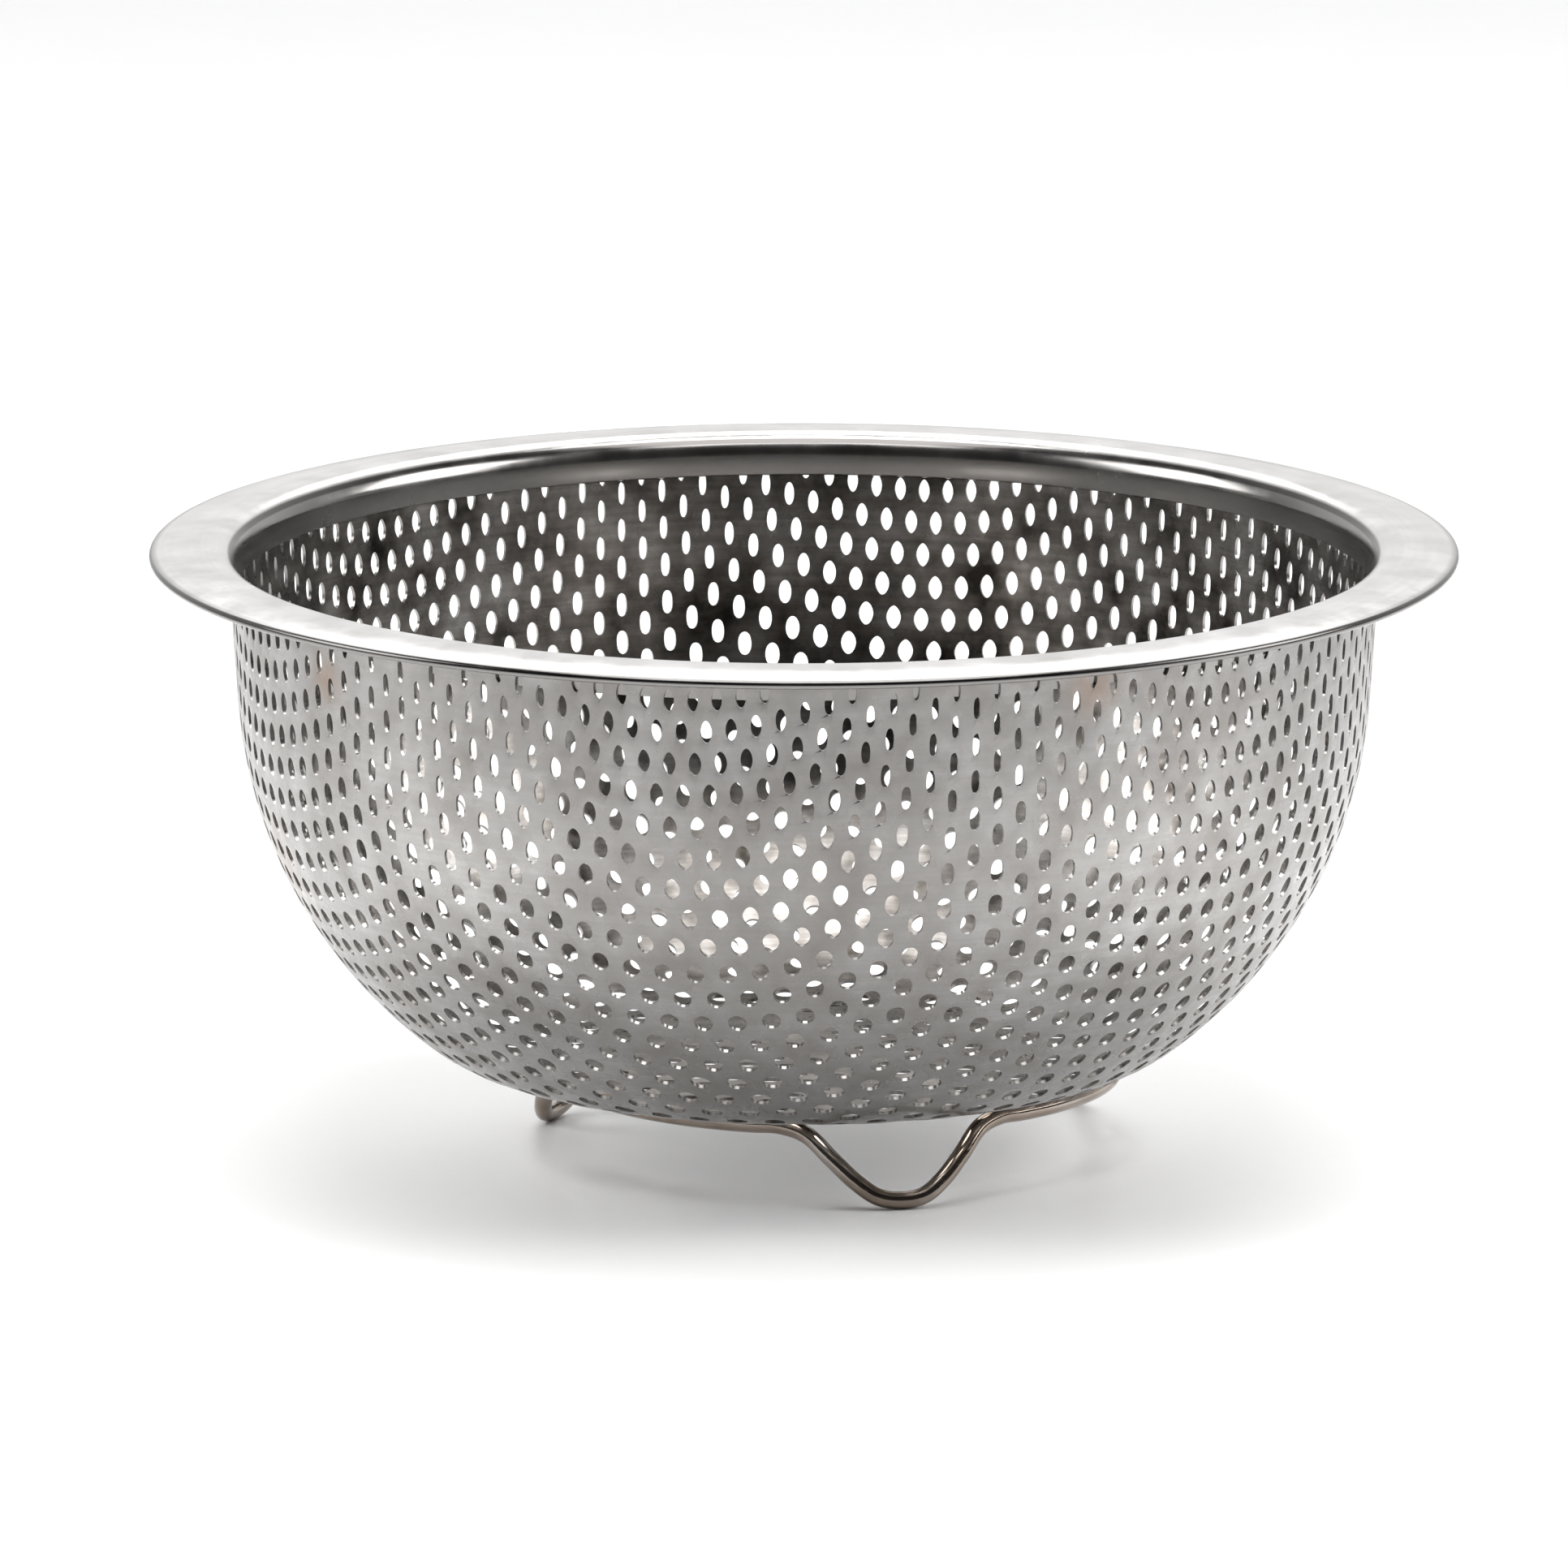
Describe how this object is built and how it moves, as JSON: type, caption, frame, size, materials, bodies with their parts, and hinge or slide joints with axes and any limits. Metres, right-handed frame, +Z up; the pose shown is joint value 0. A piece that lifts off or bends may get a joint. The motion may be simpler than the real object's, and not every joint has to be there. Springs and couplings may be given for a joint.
{
  "type": "footed colander",
  "caption": "Round perforated steel bowl with a flat hemmed rim, standing on a bent-wire foot ring.",
  "frame": {"origin": "on the ground, under the centre of the bowl", "axes": "+Z up along the bowl's axis, -Y towards the front foot"},
  "size_m": [0.2, 0.2, 0.094],
  "materials": {
    "bowl_steel": "drawn and satin polished stainless sheet",
    "rim_steel": "polished stainless sheet",
    "wire_steel": "bright polished stainless wire",
    "weld_steel": "heat-tinted weld metal"
  },
  "bodies": {
    "root": {"bowl": "bowl_steel", "rim_ring": "rim_steel", "foot_ring": "wire_steel", "weld_beads": "weld_steel"}
  },
  "joints": []
}
